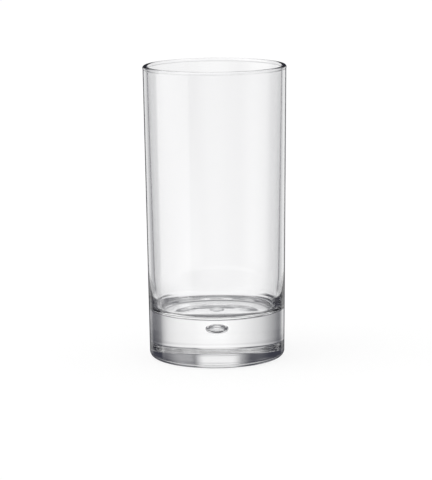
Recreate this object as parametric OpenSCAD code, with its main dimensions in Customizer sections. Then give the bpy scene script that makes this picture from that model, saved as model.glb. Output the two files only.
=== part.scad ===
/* [Outside] */
// Height of the glass, from the table to the top of the rim
glass_h = 145; // [125:1:170]
// Outer diameter of the glass at the rim
rim_d = 70.6; // [64:0.2:80]
// Outer diameter of the glass at the foot, just above the rounded heel
foot_d = 67; // [60:0.2:78]
// Radius of the rounded heel, where the side turns under
heel_r = 2.9; // [1.5:0.1:4]
// Width of the flat ring that the glass stands on
rest_w = 5.3; // [2:0.1:6.5]
// Height of the shallow hollow in the underside, at its middle
kick_h = 1; // [0.3:0.1:1.5]

/* [Wall] */
// Thickness of the wall just under the rim
rim_wall = 1.9; // [1.4:0.1:3]
// How far the round bead of the rim stands proud of the wall, inside and outside
bead_bulge = 0.15; // [0.05:0.05:0.4]
// Thickness of the wall where the cavity starts to curve in
low_wall = 2.8; // [1.8:0.1:3.4]

/* [Cavity floor] */
// Thickness of the solid glass between the underside and the cavity floor
sham_h = 22.8; // [20:0.1:28]
// Height above the cavity floor at which the wall starts to curve in
shoulder_rise = 20.3; // [17:0.1:26]
// Distance from the wall in to the middle of the corner curve
corner_reach = 5.5; // [4.8:0.1:7]
// Radius of the corner curve, between the dish of the floor and the long curve of the wall
corner_r = 4.3; // [3:0.1:4.9]
// Angle through which the edge of the flat floor rises before the corner curve, like a dish
dish_turn = 6.3; // [2:0.1:10]
// Radius of that dish
dish_r = 52; // [40:1:70]

/* [Air bubble] */
// Width of the trapped air bubble
bubble_w = 7.7; // [4:0.1:12]
// Height of the trapped air bubble
bubble_h = 5; // [2:0.1:7]
// Height of the middle of the bubble, where the two layers of glass were joined
bubble_z = 15.7; // [12:0.1:16.5]

/* [Hidden] */

// Facets of a full turn, straight steps in one quarter of a round outline, and in the shortest arc
turn_facets = 180;
quarter_steps = 12;
least_steps = 4;

// Outer side: a straight taper from the foot to the bead, which is a full round
foot_r = foot_d / 2;
rim_r = rim_d / 2;
bead_r = rim_wall / 2 + bead_bulge;
bead_centre = [rim_r - bead_r, glass_h - bead_r];
// Radius of the small hollow curve that joins the bead to the wall
crease_r = 0.5;
crease_reach = rim_wall / 2 + crease_r;
crease_drop = sqrt(pow(bead_r + crease_r, 2) - pow(crease_reach, 2));
crease_angle = atan2(crease_drop, crease_reach);
crease_z = bead_centre.y - crease_drop;
side_slope = (bead_centre.x + rim_wall / 2 - foot_r) / (crease_z - heel_r);
function side_r(z) = foot_r + side_slope * (z - heel_r);

// Underside: the heel, the resting ring, and a shallow dome inside it
rest_r = foot_r - heel_r;
kick_r = rest_r - rest_w;
kick_ball_r = (kick_r * kick_r + kick_h * kick_h) / (2 * kick_h);
kick_half_angle = asin(kick_r / kick_ball_r);

// Cavity: straight wall, long curve, corner, dish and flat floor, each meeting the next smoothly
shoulder_z = sham_h + shoulder_rise;
shoulder = [side_r(shoulder_z) - low_wall, shoulder_z];
lip = [bead_centre.x - rim_wall / 2, crease_z];
lean = atan2(lip.x - shoulder.x, lip.y - shoulder.y);
inward = [-cos(lean), sin(lean)];
corner_centre = [shoulder.x - corner_reach, sham_h + dish_r - (dish_r - corner_r) * cos(dish_turn)];
dish_centre = [corner_centre.x - (dish_r - corner_r) * sin(dish_turn), sham_h + dish_r];
from_corner = shoulder - corner_centre;
curve_r = (from_corner * from_corner - corner_r * corner_r) / (2 * (-(from_corner * inward) - corner_r));
curve_centre = shoulder + curve_r * inward;
blend_angle = atan2(corner_centre.y - curve_centre.y, corner_centre.x - curve_centre.x);

// Steps for an arc, in proportion to its angle
function steps(turn) = max(least_steps, ceil(quarter_steps * abs(turn) / 90));
// Points of an arc from one angle to another, both ends included
function arc(centre, r, from, to) =
    [for (i = [0 : steps(to - from)]) let (a = from + (to - from) * i / steps(to - from))
        centre + r * [cos(a), sin(a)]];
// Half of the bubble's outline, between its equator and its pole on the axis
function bubble_half(up) =
    [for (i = [0 : quarter_steps]) let (a = 90 * i / quarter_steps)
        [bubble_w / 2 * cos(a), bubble_z + up * bubble_h / 2 * sin(a)]];
// A list of points in the opposite order
function turned(points) = [for (i = [len(points) - 1 : -1 : 0]) points[i]];

// Outlines, from the axis outwards and up the outside, then back down the inside
module bowl_outline() {
    polygon(concat(
        turned(bubble_half(1)),
        [[side_r(bubble_z), bubble_z]],
        arc([bead_centre.x + crease_reach, crease_z], crease_r, 180, 180 - crease_angle),
        arc(bead_centre, bead_r, -crease_angle, 180 + crease_angle),
        arc([bead_centre.x - crease_reach, crease_z], crease_r, crease_angle, 0),
        turned(concat(
            arc(dish_centre, dish_r, -90, -90 + dish_turn),
            arc(corner_centre, corner_r, -90 + dish_turn, blend_angle),
            arc(curve_centre, curve_r, blend_angle, -lean))),
        [[0, sham_h]]
    ));
}

module foot_outline() {
    polygon(concat(
        turned(arc([0, kick_h - kick_ball_r], kick_ball_r, 90 - kick_half_angle, 90)),
        arc([rest_r, heel_r], heel_r, -90, 0),
        [[side_r(bubble_z), bubble_z]],
        bubble_half(-1)
    ));
}

module bubble_outline() {
    polygon(concat(turned(bubble_half(-1)), bubble_half(1)));
}

// The upper layer of glass: rim, wall and cavity floor, with the top of the air pit in its underside
module bowl() {
    color("lightcyan", 0.4)
        rotate_extrude($fn = turn_facets) bowl_outline();
}

// The lower layer of glass: rounded heel and resting ring, with the bottom of the air pit in its top
module foot() {
    color("powderblue", 0.5)
        rotate_extrude($fn = turn_facets) foot_outline();
}

// The air that the two layers trap
module air_bubble() {
    color("white", 0.8)
        rotate_extrude($fn = turn_facets) bubble_outline();
}

bowl();
foot();
air_bubble();
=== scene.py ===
# %% [markdown]
# # A straight glass tumbler with a bubble in its base
# The measured CAD model comes in first, as a fixed frame. It says how large the glass is and where
# each layer of it lies. This script models the glass again with a finer surface, gives it the look
# of clear pressed glass, and puts it on a white table in a small photographer's studio.

# %% Load the frame
import math

import bpy
from mathutils import Matrix, Vector


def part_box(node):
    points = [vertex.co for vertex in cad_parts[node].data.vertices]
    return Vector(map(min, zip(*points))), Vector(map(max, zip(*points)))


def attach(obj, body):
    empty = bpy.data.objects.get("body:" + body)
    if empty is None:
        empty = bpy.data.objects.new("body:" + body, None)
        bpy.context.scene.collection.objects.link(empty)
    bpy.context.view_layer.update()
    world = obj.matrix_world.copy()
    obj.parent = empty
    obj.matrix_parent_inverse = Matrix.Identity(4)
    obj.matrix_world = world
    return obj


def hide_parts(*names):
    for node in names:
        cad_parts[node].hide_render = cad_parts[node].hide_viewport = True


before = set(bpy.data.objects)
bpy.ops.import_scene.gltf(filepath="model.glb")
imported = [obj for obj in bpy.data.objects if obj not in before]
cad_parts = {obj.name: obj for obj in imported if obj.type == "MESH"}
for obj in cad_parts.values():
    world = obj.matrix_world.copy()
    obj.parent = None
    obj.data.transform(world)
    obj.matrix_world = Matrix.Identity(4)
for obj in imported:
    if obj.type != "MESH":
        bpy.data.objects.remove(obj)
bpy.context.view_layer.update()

MM = 0.001               # one millimetre in Blender's metres

# %% [markdown]
# ## The measures
# A tumbler is turned round one axis, so its whole form is half of one outline. The overall sizes
# are read from the frame's boxes. The rest are the values that the CAD part uses, in millimetres,
# turned into Blender's metres by one factor.

# %% Measures of the glass
low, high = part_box("bowl")
rim_radius, glass_height = high.x, high.z
joint_height = low.z
low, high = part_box("air_bubble")
bubble_radius, bubble_half_height = high.x, (high.z - low.z) / 2

foot_radius, heel_radius, rest_width, hollow_height = 33.5 * MM, 2.9 * MM, 5.3 * MM, 1.0 * MM
rim_wall, low_wall = 1.9 * MM, 2.8 * MM
floor_height, shoulder_rise = 22.8 * MM, 20.3 * MM
corner_reach, corner_radius = 5.5 * MM, 4.3 * MM
dish_radius, dish_turn = 52 * MM, math.radians(6.3)
bead_bulge, bead_crease = 0.15 * MM, 0.5 * MM
print("rim radius %.2f mm, height %.2f mm, joint of the layers at %.2f mm"
      % (rim_radius / MM, glass_height / MM, joint_height / MM))

# %% [markdown]
# The rim ends in a round bead, because a flame melts the edge of a drinking glass smooth. The bead
# is slightly wider than the wall, so a small crease lies under it, and that is drawn as another
# arc. The straight side of the glass runs from the crease down to the top of the rounded heel.

# %% Bead and side
bead_radius = rim_wall / 2 + bead_bulge
bead_centre = Vector((rim_radius - bead_radius, glass_height - bead_radius))
crease_reach = rim_wall / 2 + bead_crease
crease_drop = math.sqrt((bead_radius + bead_crease) ** 2 - crease_reach ** 2)
crease_angle = math.degrees(math.atan2(crease_drop, crease_reach))
crease_height = bead_centre.y - crease_drop
side_slope = (bead_centre.x + rim_wall / 2 - foot_radius) / (crease_height - heel_radius)


def side_at(height):
    """Outer radius of the glass at a height."""
    return foot_radius + side_slope * (height - heel_radius)


print("bead radius %.2f mm, the side leans out by %.2f degrees"
      % (bead_radius / MM, math.degrees(math.atan(side_slope))))

# %% [markdown]
# The inside of the wall is straight, then bends in along a very long curve, a tight corner turns it
# over, and a shallow dish takes it into the flat floor. Two arcs look smooth together when they
# share a tangent where they meet, so the radius and the centre of the long curve are worked out
# from that.

# %% Solve the inside curve
shoulder_height = floor_height + shoulder_rise
shoulder = Vector((side_at(shoulder_height) - low_wall, shoulder_height))
lip = Vector((bead_centre.x - rim_wall / 2, crease_height))
lean = math.atan2(lip.x - shoulder.x, lip.y - shoulder.y)
inward = Vector((-math.cos(lean), math.sin(lean)))

dish_gap = dish_radius - corner_radius
corner_centre = Vector((shoulder.x - corner_reach,
                        floor_height + dish_radius - dish_gap * math.cos(dish_turn)))
dish_centre = Vector((corner_centre.x - dish_gap * math.sin(dish_turn),
                      floor_height + dish_radius))

from_corner = shoulder - corner_centre
curve_radius = (from_corner.length_squared - corner_radius ** 2) / (
    2 * (-from_corner.dot(inward) - corner_radius))
curve_centre = shoulder + curve_radius * inward
blend_angle = math.atan2(corner_centre.y - curve_centre.y, corner_centre.x - curve_centre.x)
print("long curve: radius %.1f mm, it turns %.1f degrees"
      % (curve_radius / MM, math.degrees(-lean - blend_angle)))

# %% [markdown]
# ## Drawing an outline by hand
# A mould for glass is turned on a lathe. In Blender the same thing is a chain of edges and the Spin
# tool. The chain starts as a small plane that is merged into one vertex. The helper leaves that
# vertex in edit mode, and the pen keeps the place of the last vertex.

# %% Start an outline
pen = Vector((0, 0))


def start_outline(name, x, z):
    """A new object with one vertex at (x, 0, z), left in edit mode."""
    bpy.ops.object.select_all(action="DESELECT")
    bpy.ops.mesh.primitive_plane_add(size=MM, location=(x, 0, z))
    piece = bpy.context.object
    piece.name = piece.data.name = name
    bpy.ops.object.transform_apply(location=True, rotation=True, scale=True)
    bpy.ops.object.mode_set(mode="EDIT")
    bpy.ops.mesh.select_all(action="SELECT")
    bpy.ops.mesh.merge(type="CENTER")
    pen.xy = x, z
    return piece


# %% [markdown]
# A straight run extrudes the last vertex, and an arc spins it round a centre. A straight run gets a
# short step at each end. These steps hold the shading of a long face still beside an arc, as a
# support loop would.

# %% Straight runs and arcs
SHORT_STEP = 0.004       # as a share of the run


def line_to(x, z, count):
    """Extrudes the last vertex to (x, z) in even steps, with one short step at each end."""
    shares = [SHORT_STEP] + [i / count for i in range(1, count)] + [1 - SHORT_STEP, 1]
    start, end = pen.copy(), Vector((x, z))
    for share in shares:
        step = start.lerp(end, share) - pen
        bpy.ops.mesh.extrude_vertices_move(TRANSFORM_OT_translate={"value": (step.x, 0, step.y)})
        pen.xy = pen + step


def arc_about(centre, degrees, steps):
    """Spins the last vertex round a centre. Positive degrees go from +X towards +Z."""
    angle = math.radians(degrees)
    bpy.ops.mesh.spin(steps=steps, angle=angle, center=(centre[0], 0, centre[1]), axis=(0, 1, 0))
    arm = pen - Vector(centre)
    pen.xy = Vector(centre) + Vector((arm.x * math.cos(angle) - arm.y * math.sin(angle),
                                      arm.x * math.sin(angle) + arm.y * math.cos(angle)))


# %% [markdown]
# Both layers of glass start with their half of the pit that traps the air. The pit is drawn as a
# quarter of a circle and then pressed flat with a resize in Z, because the bubble is flatter than
# it is wide. The last vertex is then selected again, by its place, so that the outline can go on.

# %% Start at the bubble
PIT_STEPS = 24
MERGE_DISTANCE = 0.0004 * MM


def start_at_pit(name, side):
    """An outline that starts with the pit: the bubble's top half for 1, its bottom half for -1."""
    piece = start_outline(name, 0, joint_height + side * bubble_radius)
    arc_about((0, joint_height), -90 * side, PIT_STEPS)
    bpy.ops.mesh.select_all(action="SELECT")
    bpy.ops.transform.resize(value=(1, 1, bubble_half_height / bubble_radius),
                             center_override=(0, 0, joint_height))
    bpy.ops.mesh.select_all(action="DESELECT")
    bpy.ops.object.mode_set(mode="OBJECT")
    for vertex in piece.data.vertices:
        vertex.select = vertex.co.x > bubble_radius - MERGE_DISTANCE
    bpy.ops.object.mode_set(mode="EDIT")
    return piece


# %% [markdown]
# A finished outline is spun once round the axis. The seam and the poles are then closed by merging
# their doubles, and the faces are turned outwards, because light has to know where glass begins.
# The print says how many edges are still open. It has to be none.

# %% Turn on the lathe
TURN_STEPS = 256
SHARP_ANGLE = math.radians(40)


def turn_on_lathe(piece):
    """Spins the finished outline round Z, closes the seam and the poles, and faces it outwards."""
    bpy.ops.mesh.select_all(action="SELECT")
    bpy.ops.mesh.spin(steps=TURN_STEPS, angle=math.tau, center=(0, 0, 0), axis=(0, 0, 1))
    bpy.ops.mesh.select_all(action="SELECT")
    bpy.ops.mesh.remove_doubles(threshold=MERGE_DISTANCE)
    bpy.ops.mesh.normals_make_consistent(inside=False)
    bpy.ops.mesh.select_all(action="DESELECT")
    bpy.ops.mesh.select_non_manifold()
    bpy.ops.object.mode_set(mode="OBJECT")
    open_edges = sum(edge.select for edge in piece.data.edges)
    bpy.ops.object.shade_smooth_by_angle(angle=SHARP_ANGLE)
    size = [round(side / MM, 2) for side in piece.dimensions]
    print("%s: %d faces, %s mm, %d open edges"
          % (piece.name, len(piece.data.polygons), size, open_edges))


# %% [markdown]
# ## The upper layer of glass
# This is what one drinks from: rounded rim, thin wall and cavity floor. Its underside is the joint
# with the lower layer. The outline goes out along the joint, up the side, over the bead, down the
# inside of the wall and across the floor to the axis. The bowl could also be a cylinder with its
# inside cut away, but one outline gives smooth arcs and a wall that changes its thickness.

# %% Model the bowl
JOINT_RUN, FLOOR_RUN, OUTER_RUN, INNER_RUN = 6, 6, 24, 20
CREASE_STEPS, BEAD_STEPS, CURVE_STEPS, DISH_STEPS = 6, 32, 24, 12

bowl_glass = start_at_pit("bowl_glass", 1)
line_to(side_at(joint_height), joint_height, JOINT_RUN)
line_to(side_at(crease_height), crease_height, OUTER_RUN)
arc_about((bead_centre.x + crease_reach, crease_height), -crease_angle, CREASE_STEPS)
arc_about(bead_centre, 180 + 2 * crease_angle, BEAD_STEPS)
arc_about((bead_centre.x - crease_reach, crease_height), -crease_angle, CREASE_STEPS)
line_to(shoulder.x, shoulder.y, INNER_RUN)
arc_about(curve_centre, math.degrees(blend_angle + lean), CURVE_STEPS)
arc_about(corner_centre, math.degrees(-math.pi / 2 + dish_turn - blend_angle), CURVE_STEPS)
arc_about(dish_centre, -math.degrees(dish_turn), DISH_STEPS)
line_to(0, floor_height, FLOOR_RUN)
turn_on_lathe(bowl_glass)

# %% [markdown]
# ## The lower layer of glass
# The foot closes the pit from below and carries the glass. Its heel is rounded, it stands on a
# narrow flat ring, and inside the ring the underside is a shallow dome, so that the glass can't
# rock. The same tools draw it: out along the joint, down the side, round the heel and in under the
# dome to the axis.

# %% Model the foot
FOOT_RUN, HEEL_STEPS, REST_RUN, DOME_STEPS = 4, 20, 3, 24
rest_radius = foot_radius - heel_radius
hollow_radius = rest_radius - rest_width
dome_radius = (hollow_radius ** 2 + hollow_height ** 2) / (2 * hollow_height)
dome_angle = math.degrees(math.asin(hollow_radius / dome_radius))

foot_glass = start_at_pit("foot_glass", -1)
line_to(side_at(joint_height), joint_height, JOINT_RUN)
line_to(foot_radius, heel_radius, FOOT_RUN)
arc_about((rest_radius, heel_radius), -90, HEEL_STEPS)
line_to(hollow_radius, 0, REST_RUN)
arc_about((0, hollow_height - dome_radius), dome_angle, DOME_STEPS)
turn_on_lathe(foot_glass)

# %% [markdown]
# ## Helpers for materials
# A procedural material is arithmetic: how far from the axis, how high, between which edges. These
# helpers add one node each and link it, so that the materials below read like sums.

# %% Node arithmetic
def node_maths(tree, operation, first, second=0):
    """A Math node. Each input is a number or a socket."""
    node = tree.nodes.new("ShaderNodeMath")
    node.operation = operation
    for socket, value in zip(node.inputs, (first, second)):
        if isinstance(value, (int, float)):
            socket.default_value = value
        else:
            tree.links.new(value, socket)
    return node.outputs["Value"]


def node_product(tree, first, *others):
    """Several values multiplied."""
    for other in others:
        first = node_maths(tree, "MULTIPLY", first, other)
    return first


def node_highest(tree, first, *others):
    """The highest of several values at each point."""
    for other in others:
        first = node_maths(tree, "MAXIMUM", first, other)
    return first


# %% [markdown]
# The edge of a shade or of a bright panel is never hard, so each edge is a pair of numbers: where
# its fade starts and where it ends. A ramp is for a brightness with more than two steps.

# %% Soft edges
def node_fade(tree, value, start, end, soft=True):
    """0 before start, 1 after end, and a soft or straight ramp between them."""
    node = tree.nodes.new("ShaderNodeMapRange")
    node.interpolation_type = "SMOOTHSTEP" if soft else "LINEAR"
    node.inputs["From Min"].default_value = start
    node.inputs["From Max"].default_value = end
    tree.links.new(value, node.inputs["Value"])
    return node.outputs["Result"]


def node_window(tree, value, rise=None, fall=None):
    """1 between a rising and a falling edge, 0 outside them. Either edge may be left out."""
    inside = node_fade(tree, value, *rise) if rise else 1
    if fall:
        before = node_maths(tree, "SUBTRACT", 1, node_fade(tree, value, *fall))
        inside = node_product(tree, inside, before)
    return inside


def node_ramp(tree, value, stops):
    """A brightness along a value, from a list of (value, brightness)."""
    start, end = stops[0][0], stops[-1][0]
    ramp = tree.nodes.new("ShaderNodeValToRGB")
    tree.links.new(node_fade(tree, value, start, end, soft=False), ramp.inputs["Fac"])
    while len(ramp.color_ramp.elements) < len(stops):
        ramp.color_ramp.elements.new(1)
    for element, (at, brightness) in zip(ramp.color_ramp.elements, stops):
        element.position = (at - start) / (end - start)
        element.color = (brightness, brightness, brightness, 1)
    return ramp.outputs["Color"]


# %% [markdown]
# The glass, the table and the studio are all laid out round the axis of the glass. So their
# materials read a point by its distance from the axis and by a compass direction, as on a map seen
# from above: 0 is straight behind the glass, 90 is to its right and -90 to its left.

# %% Place round the axis
def node_point(tree, coordinates):
    """The X, Y and Z sockets of a point."""
    place = tree.nodes.new("ShaderNodeTexCoord")
    parts = tree.nodes.new("ShaderNodeSeparateXYZ")
    tree.links.new(place.outputs[coordinates], parts.inputs["Vector"])
    return parts.outputs


def node_distance(tree, point):
    """How far a point is from the axis."""
    squares = node_maths(tree, "ADD", node_product(tree, point["X"], point["X"]),
                         node_product(tree, point["Y"], point["Y"]))
    return node_maths(tree, "SQRT", squares)


def node_compass(tree, point):
    """The compass direction of a point in degrees, from -180 to 180."""
    return node_maths(tree, "DEGREES", node_maths(tree, "ARCTAN2", point["X"], point["Y"]))


# %% [markdown]
# ## Clear glass
# Glass is one Principled shader: full transmission, the index of refraction of soda-lime glass, and
# no roughness. What makes it look pressed and not computed is a faint unevenness, so a very soft
# noise moves its surface. The thin dark outline of a tumbler is painted shade: Layer Weight finds
# where the view grazes the side and darkens the glass colour there, in place of the light that a
# long way through the glass and the dark room round it would take. The distance from the axis
# keeps this painted outline off the cavity floor and the bubble. Volume absorption could draw the
# outline too, but would darken the thick base as well.

# %% Glass material
GLASS_IOR = 1.52
GLASS_COLOUR = (0.986, 0.986, 0.989)
# Painted shade: where the view grazes the side, the glass colour turns towards this dark colour.
PAINTED_OUTLINE_START, PAINTED_OUTLINE_END, PAINTED_OUTLINE_COLOUR = 0.79, 0.87, (0.05, 0.05, 0.06)
SIDE_ONLY = (29.5 * MM, 30.5 * MM)
CLEAR_RIPPLE, BASE_RIPPLE, RIPPLE_DEPTH = 30 * MM, 12 * MM, 0.02 * MM


def glass_material(name, ripple_size):
    """Clear glass with a painted dark outline and an unevenness of this size."""
    material = bpy.data.materials.new(name)
    material.use_nodes = True
    tree = material.node_tree
    nodes, links = tree.nodes, tree.links
    shader = nodes["Principled BSDF"]
    shader.inputs["Transmission Weight"].default_value = 1
    shader.inputs["IOR"].default_value = GLASS_IOR
    shader.inputs["Roughness"].default_value = 0

    on_side = node_fade(tree, node_distance(tree, node_point(tree, "Object")), *SIDE_ONLY)
    # Painted outline: Layer Weight darkens the glass colour at grazing angles, on the side only.
    grazing = nodes.new("ShaderNodeLayerWeight")
    edge = nodes.new("ShaderNodeValToRGB")
    edge.color_ramp.elements[0].position = PAINTED_OUTLINE_START
    edge.color_ramp.elements[0].color = (*GLASS_COLOUR, 1)
    edge.color_ramp.elements[1].position = PAINTED_OUTLINE_END
    edge.color_ramp.elements[1].color = (*PAINTED_OUTLINE_COLOUR, 1)
    links.new(node_product(tree, grazing.outputs["Facing"], on_side), edge.inputs["Fac"])
    links.new(edge.outputs["Color"], shader.inputs["Base Color"])

    place = nodes.new("ShaderNodeTexCoord")
    ripple = nodes.new("ShaderNodeTexNoise")
    ripple.inputs["Scale"].default_value = 1 / ripple_size
    ripple.inputs["Detail"].default_value = 1
    links.new(place.outputs["Object"], ripple.inputs["Vector"])
    bump = nodes.new("ShaderNodeBump")
    bump.name = "ripple_bump"
    bump.inputs["Strength"].default_value = 1
    bump.inputs["Distance"].default_value = RIPPLE_DEPTH
    links.new(ripple.outputs["Fac"], bump.inputs["Height"])
    links.new(bump.outputs["Normal"], shader.inputs["Normal"])
    return material


clear_glass = glass_material("clear_glass", CLEAR_RIPPLE)
base_glass = glass_material("base_glass", BASE_RIPPLE)
print("%s and %s: %d nodes each"
      % (clear_glass.name, base_glass.name, len(clear_glass.node_tree.nodes)))

# %% [markdown]
# The underside was pressed by a steel tool that was turned on a lathe, and the faint rings of that
# tool show through the base as streaks. The rings are noise that is read along the radius only,
# with a little of X and Y in it, so that a ring isn't perfect. They fade out above the foot. They
# are far too fine to model, so they are bump.

# %% Tool rings under the foot
RING_WIDTH, RING_STRETCH, RING_DEPTH = 2.2 * MM, 25 * MM, 0.012 * MM
RINGS_END = (1.5 * MM, 3 * MM)
tree = base_glass.node_tree
nodes, links = tree.nodes, tree.links
point = node_point(tree, "Object")
ring_place = nodes.new("ShaderNodeCombineXYZ")
for axis, value, width in (("X", node_distance(tree, point), RING_WIDTH),
                           ("Y", point["X"], RING_STRETCH), ("Z", point["Y"], RING_STRETCH)):
    links.new(node_maths(tree, "DIVIDE", value, width), ring_place.inputs[axis])
rings = nodes.new("ShaderNodeTexNoise")
rings.inputs["Scale"].default_value = 1
rings.inputs["Detail"].default_value = 1
links.new(ring_place.outputs["Vector"], rings.inputs["Vector"])
near_table = node_window(tree, point["Z"], fall=RINGS_END)
ring_bump = nodes.new("ShaderNodeBump")
ring_bump.inputs["Strength"].default_value = 1
ring_bump.inputs["Distance"].default_value = RING_DEPTH
links.new(node_product(tree, rings.outputs["Fac"], near_table), ring_bump.inputs["Height"])
links.new(nodes["ripple_bump"].outputs["Normal"], ring_bump.inputs["Normal"])
links.new(ring_bump.outputs["Normal"], nodes["Principled BSDF"].inputs["Normal"])
print("%s with tool rings: %d nodes" % (base_glass.name, len(nodes)))

# %% [markdown]
# ## The joint that can't be seen
# The two layers were fused while they were hot, so light crosses the joint as if it weren't there.
# The two flat faces that meet there get a transparent material, which doesn't bend light. They are
# found by their place: flat, and at the height of the joint.

# %% Fused joint
JOINT_TOLERANCE, FLAT = 0.01 * MM, 0.99
fused_joint = bpy.data.materials.new("fused_joint")
fused_joint.use_nodes = True
nodes, links = fused_joint.node_tree.nodes, fused_joint.node_tree.links
nodes.remove(nodes["Principled BSDF"])
see_through = nodes.new("ShaderNodeBsdfTransparent")
links.new(see_through.outputs["BSDF"], nodes["Material Output"].inputs["Surface"])

for piece, glass in ((bowl_glass, clear_glass), (foot_glass, base_glass)):
    piece.data.materials.append(glass)
    piece.data.materials.append(fused_joint)
    joint_faces = 0
    for face in piece.data.polygons:
        if abs(face.center.z - joint_height) < JOINT_TOLERANCE and abs(face.normal.z) > FLAT:
            face.material_index = 1
            joint_faces += 1
    print("%s: %d faces lie in the joint" % (piece.name, joint_faces))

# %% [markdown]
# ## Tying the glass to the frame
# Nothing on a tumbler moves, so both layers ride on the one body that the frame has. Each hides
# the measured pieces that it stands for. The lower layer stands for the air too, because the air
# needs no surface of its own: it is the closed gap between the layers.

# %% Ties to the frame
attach(bowl_glass, "root")
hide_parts("bowl")
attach(foot_glass, "root")
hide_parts("foot", "air_bubble")
print("%s and %s ride on root" % (bowl_glass.name, foot_glass.name))

# %% [markdown]
# ## The table
# The table is one large plane. To the camera it is plain white with the soft shadow of the glass.
# Light that has been through the glass passes the table and goes on to the studio, except where a
# shade lies on it. A clear base gathers every dark thing on the table, and that is what makes it
# look thick. So the shades are for the glass only, and the camera sees none of them directly.

# %% Floor
FLOOR_SIZE = 8           # metres
bpy.ops.object.select_all(action="DESELECT")
bpy.ops.mesh.primitive_plane_add(size=FLOOR_SIZE, location=(0, 0, 0))
floor = bpy.context.object
floor.name = floor.data.name = "white_table"

table_white = bpy.data.materials.new("table_white")
table_white.use_nodes = True
floor.data.materials.append(table_white)
tree = table_white.node_tree
nodes, links = tree.nodes, tree.links
nodes.remove(nodes["Principled BSDF"])

point = node_point(tree, "Object")
compass = node_compass(tree, point)
from_axis = node_maths(tree, "DIVIDE", node_distance(tree, point), MM)
light_path = nodes.new("ShaderNodeLightPath")
print("%s: %d m square" % (floor.name, FLOOR_SIZE))

# %% [markdown]
# The first shade is the contact shadow: a dark ring under the heel, and inside it two soft ovals
# for the shadow of the thick base. The ring is a ramp over the distance from the axis. An oval is a
# circle that a Mapping node stretches and moves.

# %% Contact shadow
HEEL_SHADE = [(24, 0), (30, 0.15), (31.5, 0.4), (33.5, 0.95), (36, 0.95), (38, 0.7), (40, 0.4),
              (45, 0.15), (52, 0)]
OVAL_END = 1.1


def oval_shade(depth, middle, half_size, inner):
    """A soft oval shadow, in millimetres. Inner is the share of its size where its fade starts."""
    place = nodes.new("ShaderNodeTexCoord")
    oval = nodes.new("ShaderNodeMapping")
    oval.vector_type = "TEXTURE"
    oval.inputs["Location"].default_value = (middle[0] * MM, middle[1] * MM, 0)
    oval.inputs["Scale"].default_value = (half_size[0] * MM, half_size[1] * MM, 1)
    links.new(place.outputs["Object"], oval.inputs["Vector"])
    reach = nodes.new("ShaderNodeVectorMath")
    reach.operation = "LENGTH"
    links.new(oval.outputs["Vector"], reach.inputs[0])
    return node_product(tree, node_window(tree, reach.outputs["Value"], fall=(inner, OVAL_END)),
                        depth)


wide_oval = oval_shade(depth=1, middle=(4, -5), half_size=(25, 12), inner=0.82)
back_oval = oval_shade(depth=0.6, middle=(0, 21), half_size=(14, 3.5), inner=0.5)
contact_shadow = node_highest(tree, node_ramp(tree, from_axis, HEEL_SHADE), wide_oval, back_oval)
print("contact shadow: out to %d mm from the axis" % HEEL_SHADE[-1][0])

# %% [markdown]
# The second shade is a pair of dark cards, painted on the table behind the glass, to its left and
# right. Clear glass is lit like this in a studio, because such cards give the corners of the base
# their dark tone. The cards have no gloss. Their sheen is painted: Layer Weight fades them out at a
# grazing angle, so that the studio behind them shows there.

# %% Dark cards
CARD_START = (20, 30)    # degrees off the back
CARD_PAINTED_SHEEN = (0.66, 0.76)
RIGHT_CARD = {"depth": 1, "end": (75, 90), "near_edge": (50, 58), "far_edge": (84, 92)}
LEFT_CARD = {"depth": 0.85, "end": (60, 75), "near_edge": (54, 60), "far_edge": (82, 88)}
# Painted sheen: Layer Weight fades the dark cards out at a grazing angle, with no gloss shader.
painted_sheen = nodes.new("ShaderNodeLayerWeight")


def table_card(side, depth, end, near_edge, far_edge):
    """A painted dark card with a painted sheen, on the right for side 1 and on the left for side
    -1.
    """
    turned = node_product(tree, compass, side)
    return node_product(tree, node_window(tree, turned, CARD_START, end),
                        node_window(tree, from_axis, near_edge, far_edge),
                        node_window(tree, painted_sheen.outputs["Facing"], fall=CARD_PAINTED_SHEEN), depth)


right_card, left_card = table_card(1, **RIGHT_CARD), table_card(-1, **LEFT_CARD)
print("dark cards: %d and %d mm from the axis"
      % (RIGHT_CARD["near_edge"][0], LEFT_CARD["near_edge"][0]))

# %% [markdown]
# The third shade lies under the front half of the foot. It is meant only for what is seen through
# the cavity, so it reads Light Path's Transmission Depth: light that has crossed the surface of the
# glass three times has been through the cavity.

# %% Shade in front
FRONT_HALF = (75, 105)   # degrees off the back
FRONT_INNER, FRONT_OUTER = (16, 21), (31, 34)
THREE_CROSSINGS = (2.5, 2.6)
off_back = node_maths(tree, "ABSOLUTE", compass)        # 0 straight behind, 180 in front
crossings = light_path.outputs["Transmission Depth"]
front_shade = node_product(tree, node_window(tree, off_back, FRONT_HALF),
                           node_window(tree, from_axis, FRONT_INNER, FRONT_OUTER),
                           node_window(tree, crossings, THREE_CROSSINGS))
shaded = node_highest(tree, contact_shadow, right_card, left_card, front_shade)
print("front shade: %d to %d mm from the axis" % (FRONT_INNER[0], FRONT_OUTER[1]))

# %% [markdown]
# The white that the camera sees is mostly the table's own light, with a share of matt white that
# the shadow of the glass can darken. Light Path tells the camera's light from light out of the
# glass, and a Mix Shader gives each its own table.

# %% Table material
TABLE_GLOW, TABLE_MATT, SHADE_COLOUR = 0.8, 0.2, (0.04, 0.04, 0.05)
white = nodes.new("ShaderNodeEmission")
white.inputs["Color"].default_value = (1, 1, 1, 1)
white.inputs["Strength"].default_value = TABLE_GLOW
matt = nodes.new("ShaderNodeBsdfDiffuse")
matt.inputs["Color"].default_value = (TABLE_MATT, TABLE_MATT, TABLE_MATT, 1)
seen_by_camera = nodes.new("ShaderNodeAddShader")
links.new(white.outputs["Emission"], seen_by_camera.inputs[0])
links.new(matt.outputs["BSDF"], seen_by_camera.inputs[1])

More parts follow.
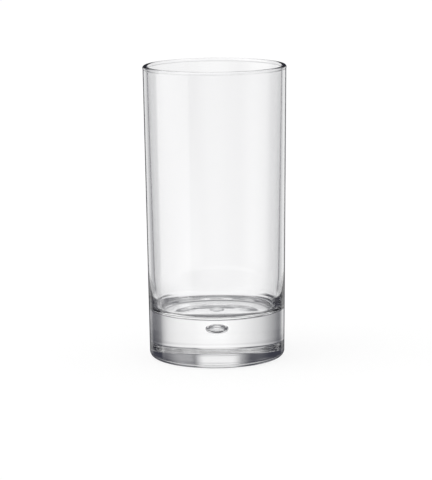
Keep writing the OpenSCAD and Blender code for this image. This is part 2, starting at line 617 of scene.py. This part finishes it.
shade = nodes.new("ShaderNodeEmission")
shade.inputs["Color"].default_value = (*SHADE_COLOUR, 1)
shade.inputs["Strength"].default_value = 1
clear = nodes.new("ShaderNodeBsdfTransparent")
seen_by_glass = nodes.new("ShaderNodeMixShader")
links.new(shaded, seen_by_glass.inputs["Fac"])
links.new(clear.outputs["BSDF"], seen_by_glass.inputs[1])
links.new(shade.outputs["Emission"], seen_by_glass.inputs[2])

either = nodes.new("ShaderNodeMixShader")
links.new(node_highest(tree, light_path.outputs["Is Transmission Ray"],
                       light_path.outputs["Is Glossy Ray"]), either.inputs["Fac"])
links.new(seen_by_camera.outputs["Shader"], either.inputs[1])
links.new(seen_by_glass.outputs["Shader"], either.inputs[2])
links.new(either.outputs["Shader"], nodes["Material Output"].inputs["Surface"])
print("%s: %d nodes" % (table_white.name, len(nodes)))

# %% [markdown]
# ## The studio
# A clear glass shows only what stands round it, so this is the real lighting job. Bright panels
# stand behind the glass and round it, with dark gaps between them that draw its edges. A panel is a
# patch of the world, from one compass direction to another and from one elevation to another. A
# lit plane would do as well, but a patch of the world never stands in the way of the camera, and
# its edges are as soft as one likes.

# %% Directions and panels
world = bpy.data.worlds.new("studio")
bpy.context.scene.world = world
world.use_nodes = True
tree = world.node_tree
nodes, links = tree.nodes, tree.links
point = node_point(tree, "Generated")
compass = node_compass(tree, point)
elevation = node_maths(tree, "DEGREES", node_maths(tree, "ARCSINE", point["Z"]))
off_back = node_maths(tree, "ABSOLUTE", compass)


def panel(brightness, left=None, right=None, bottom=None, top=None):
    """A bright patch. Each edge is a pair of degrees: where its fade starts and where it ends."""
    return node_product(tree, node_window(tree, compass, left, right),
                        node_window(tree, elevation, bottom, top), brightness)


# %% [markdown]
# The large panel behind the glass is brightest in the middle and falls off to both sides, which
# gives the wall its grey sides. Black cards stand beside the glass, low down and high up. They keep
# the light of the table and of the panel overhead from its edges, and let a tenth of it pass.

# %% Backdrop and black cards
BACKDROP = [(-90, 0), (-68, 0.15), (-54, 0.2), (-42, 0.42), (-23, 0.73), (-12, 0.9), (-4, 1),
            (8, 0.98), (16, 0.89), (26, 0.82), (30, 0.76), (34, 0.69), (38, 0.56), (41, 0.41),
            (46, 0.24), (52, 0.14), (60, 0.11), (84, 0.1), (90, 0)]
BACKDROP_TOP = (4, 9)
LOW_BLACK, LOW_BLACK_BOTTOM = ((50, 60), (98, 112)), (-64, -50)
HIGH_BLACK = ((62, 76), (106, 122))
CARD_BLACK = 0.9
behind = node_product(tree, node_ramp(tree, compass, BACKDROP), panel(1, top=BACKDROP_TOP))
low_black = node_product(tree, node_window(tree, off_back, *LOW_BLACK),
                         node_window(tree, elevation, LOW_BLACK_BOTTOM))
high_black = node_window(tree, off_back, *HIGH_BLACK)


def hidden_by(card, patch):
    """A bright patch where a black card takes most of its light away."""
    return node_product(
        tree, patch, node_maths(tree, "SUBTRACT", 1, node_product(tree, card, CARD_BLACK)))


print("backdrop: %d steps of brightness" % len(BACKDROP))

# %% [markdown]
# What shines through the glass comes from these panels. Where two of them overlap, the brighter one
# wins. Each was placed where light that leaves the glass goes: a ray traced through the outline
# tells which direction each bright or dark part of the photograph looks at.

# %% Seen through the glass
FAR_FRONT = (135, 170)
in_front = node_window(tree, off_back, FRONT_HALF)
far_front = node_window(tree, off_back, FAR_FRONT)
panels_through = [
    behind,
    hidden_by(low_black, panel(1, top=(-24, -16))),             # the table, all round
    hidden_by(high_black, panel(0.85, bottom=(40, 52))),        # overhead
    node_product(tree, in_front, panel(0.9, bottom=(44, 54))),  # overhead, in front
    node_product(tree, far_front, panel(0.5, bottom=(-26, -18), top=(-6, 2))),  # low, in front
    panel(0.45, (-22, -10), (8, 18), (4, 9), (20, 25)),         # above the backdrop, wide and dim
    panel(0.88, (-19, -8), (7, 16), (7.5, 10), (20, 25)),       # above the backdrop, bright
    panel(0.28, (10, 16), (22, 40), (6, 8), (18, 24)),          # above the backdrop, on the right
    panel(0.9, (-140, -100), (-80, -50), (-20, -13), (0, 10)),  # soft box on the left
    panel(0.95, (90, 130), (140, 178), (-30, -22), (-10, -5)),  # soft box at the front right
    panel(0.9, (-145, -138), (-112, -104), (25, 31), (42, 48)),  # high at the front left
    panel(0.9, (98, 106), (122, 134), (10, 15), (28, 34)),      # higher at the front right
    panel(0.5, (-70, -52), (-36, -24), (17, 24), (34, 42)),     # high at the back left
]
through_glass = node_highest(tree, *panels_through)
print("panels seen through the glass:", len(panels_through))

# %% [markdown]
# What the surface of the glass mirrors is lit apart, as a photographer adds a strip light for the
# one long reflection on a bottle. A narrow soft box stands on the left, and the table and faint
# panels behind and overhead fill in.

# %% Seen in reflections
panels_mirrored = [
    panel(1.7, (-140, -136), (-76, -68)),                       # soft box on the left
    node_product(tree, in_front, panel(1.3, top=(-16, 0))),     # the table in front
    panel(0.6, (-42, -32), (-22, -16), top=(4, 12)),            # behind the glass, on the left
    panel(0.6, (16, 22), (32, 42), top=(4, 12)),                # behind the glass, on the right
    panel(0.8, bottom=(48, 62)),                                # overhead
]
in_reflection = node_highest(tree, *panels_mirrored)
print("panels seen in reflections:", len(panels_mirrored))

# %% [markdown]
# The camera and the table see a plain white room, so the picture has a white ground. Only light
# that comes out of the glass sees the panels, and between them a room that is nearly dark. Light
# Path tells these cases apart. A Mix node has one set of inputs for numbers and one for colours
# with the same names, so they are taken by their place in its list.

# %% World colour
NUMBER_A, NUMBER_B, NUMBER_OUT = 2, 3, 0
COLOUR_A, COLOUR_B, COLOUR_OUT = 6, 7, 2
DARK_ROOM = (0.046, 0.047, 0.062)
light_path = nodes.new("ShaderNodeLightPath")
plain = node_highest(tree, light_path.outputs["Is Camera Ray"],
                     light_path.outputs["Is Diffuse Ray"])
mirrored = node_maths(tree, "SUBTRACT", 1, light_path.outputs["Is Transmission Ray"])
shown = nodes.new("ShaderNodeMix")
shown.data_type = "FLOAT"
links.new(mirrored, shown.inputs["Factor"])
links.new(through_glass, shown.inputs[NUMBER_A])
links.new(in_reflection, shown.inputs[NUMBER_B])

colour = nodes.new("ShaderNodeMix")
colour.data_type = "RGBA"
colour.clamp_factor = False
links.new(node_highest(tree, shown.outputs[NUMBER_OUT], plain), colour.inputs["Factor"])
colour.inputs[COLOUR_A].default_value = (*DARK_ROOM, 1)
colour.inputs[COLOUR_B].default_value = (1, 1, 1, 1)
links.new(colour.outputs[COLOUR_OUT], nodes["Background"].inputs["Color"])
nodes["Background"].inputs["Strength"].default_value = 1
print("%s: %d nodes" % (world.name, len(nodes)))

# %% [markdown]
# ## The camera
# The photograph was taken from a little above the rim, with a long lens. Its place was worked out
# from the ellipses of the rim and the foot: the flatter they are, the lower the camera stood. A
# camera could be aimed by hand, but a worked-out place puts every edge where it belongs.

# %% Camera
FRAME_PIXELS, LENS_PIXELS = 480, 2460
CAMERA_PLACE, CLIP_END = (0, -1.2, 0.2687), 50      # metres
PITCH_YAW_ROLL = (9.96, -0.003, -0.568)             # degrees
pitch, yaw, roll = (math.radians(angle) for angle in PITCH_YAW_ROLL)
ahead = Vector((math.sin(yaw) * math.cos(pitch), math.cos(yaw) * math.cos(pitch), -math.sin(pitch)))
right = Vector((math.cos(yaw), -math.sin(yaw), 0))
up = right.cross(ahead)
right, up = (right * math.cos(roll) + up * math.sin(roll),
             up * math.cos(roll) - right * math.sin(roll))

camera_data = bpy.data.cameras.new("photographer")
camera = bpy.data.objects.new("photographer", camera_data)
bpy.context.scene.collection.objects.link(camera)
bpy.context.scene.camera = camera
camera.matrix_world = Matrix((right, up, -ahead)).transposed().to_4x4()
camera.location = CAMERA_PLACE
camera_data.lens = LENS_PIXELS / FRAME_PIXELS * camera_data.sensor_width
camera_data.clip_end = CLIP_END
print("lens %.1f mm" % camera_data.lens)

# %% [markdown]
# Light crosses many surfaces in a thick base, so the number of bounces is raised. Too few would
# leave black patches in the glass. The Standard view shows each colour as it is written.

# %% Bounces and view
GLASS_BOUNCES, GLOSSY_BOUNCES = 24, 12
cycles = bpy.context.scene.cycles
cycles.max_bounces = cycles.transmission_bounces = GLASS_BOUNCES
cycles.transparent_max_bounces = GLASS_BOUNCES
cycles.glossy_bounces = GLOSSY_BOUNCES
bpy.context.scene.view_settings.view_transform = "Standard"
print("light may cross %d surfaces" % GLASS_BOUNCES)
